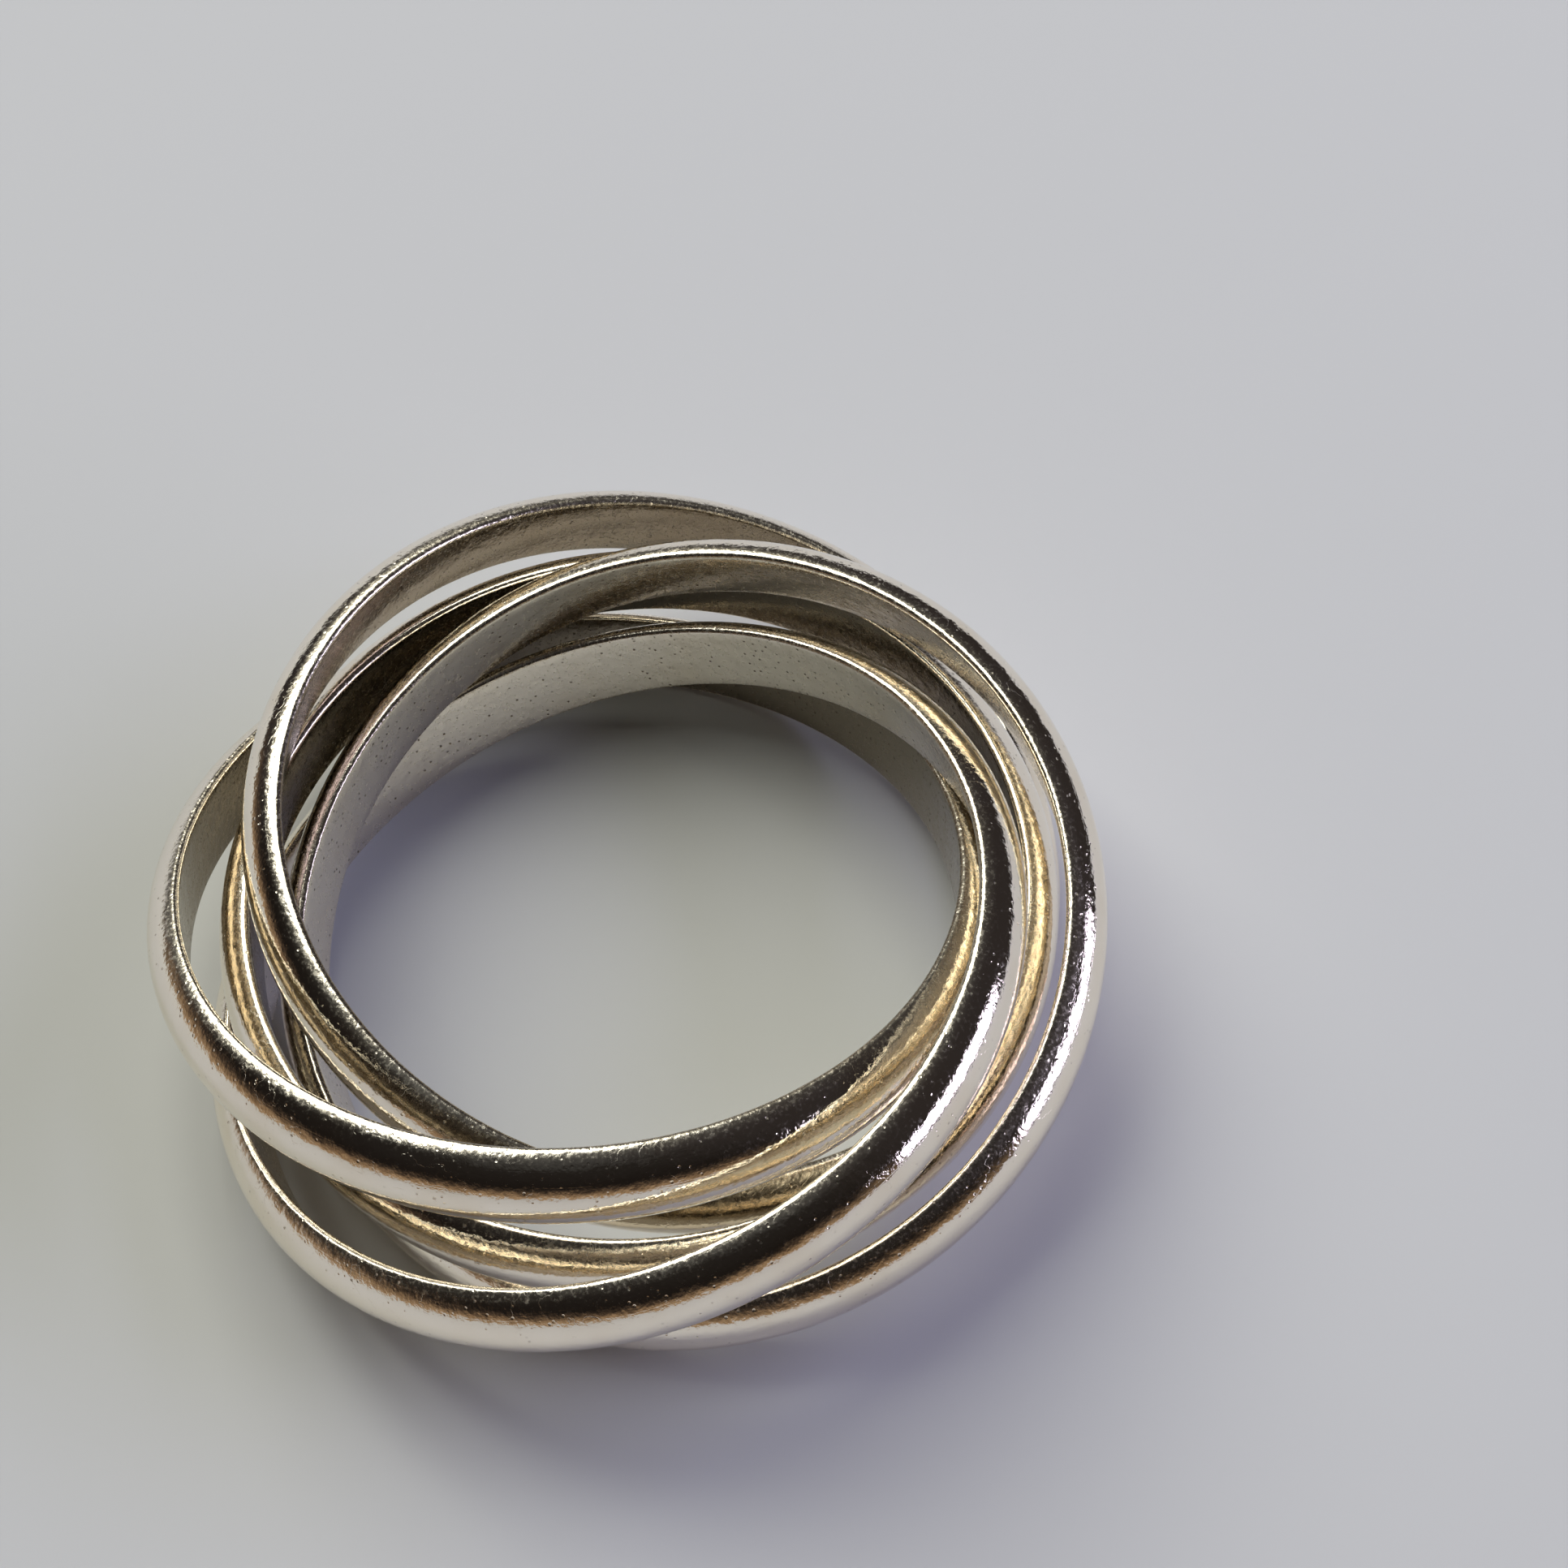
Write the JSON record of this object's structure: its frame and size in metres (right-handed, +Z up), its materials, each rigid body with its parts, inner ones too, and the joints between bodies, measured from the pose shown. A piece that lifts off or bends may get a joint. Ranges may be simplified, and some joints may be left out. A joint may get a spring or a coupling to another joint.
{
  "type": "rolling ring",
  "caption": "Finger ring of equal half-round metal bands, permanently linked through one another and fanned out as one loose bundle.",
  "frame": {"origin": "on the table, under the middle of the whole ring's footprint", "axes": "+Z up out of the table, along the finger opening; +Y to the back, where the back band is outermost; +X to the right"},
  "size_m": [0.0258, 0.0268, 0.0088],
  "materials": {
    "band_metal": "polished white metal with fine wear scratches"
  },
  "bodies": {
    "front": {"band_front": "band_metal"},
    "core": {"band_core": "band_metal"},
    "back": {"band_back": "band_metal"},
    "left": {"band_left": "band_metal"},
    "right": {"band_right": "band_metal"}
  },
  "joints": [
    {"name": "core_spin", "type": "hinge", "parent": "front", "child": "core", "pos_m": [0.0003, 0.00005, 0.00386], "axis": [0, 0, 1], "continuous": true},
    {"name": "back_roll", "type": "hinge", "parent": "front", "child": "back", "pos_m": [0.0003, 0.00005, 0.00386], "axis": [0, 0, 1], "range_deg": [-15, 12]},
    {"name": "left_roll", "type": "hinge", "parent": "front", "child": "left", "pos_m": [0.0003, 0.00005, 0.00386], "axis": [0, 0, 1], "range_deg": [-24, 0]},
    {"name": "right_roll", "type": "hinge", "parent": "front", "child": "right", "pos_m": [0.0003, 0.00005, 0.00386], "axis": [0, 0, 1], "range_deg": [0, 32]}
  ]
}
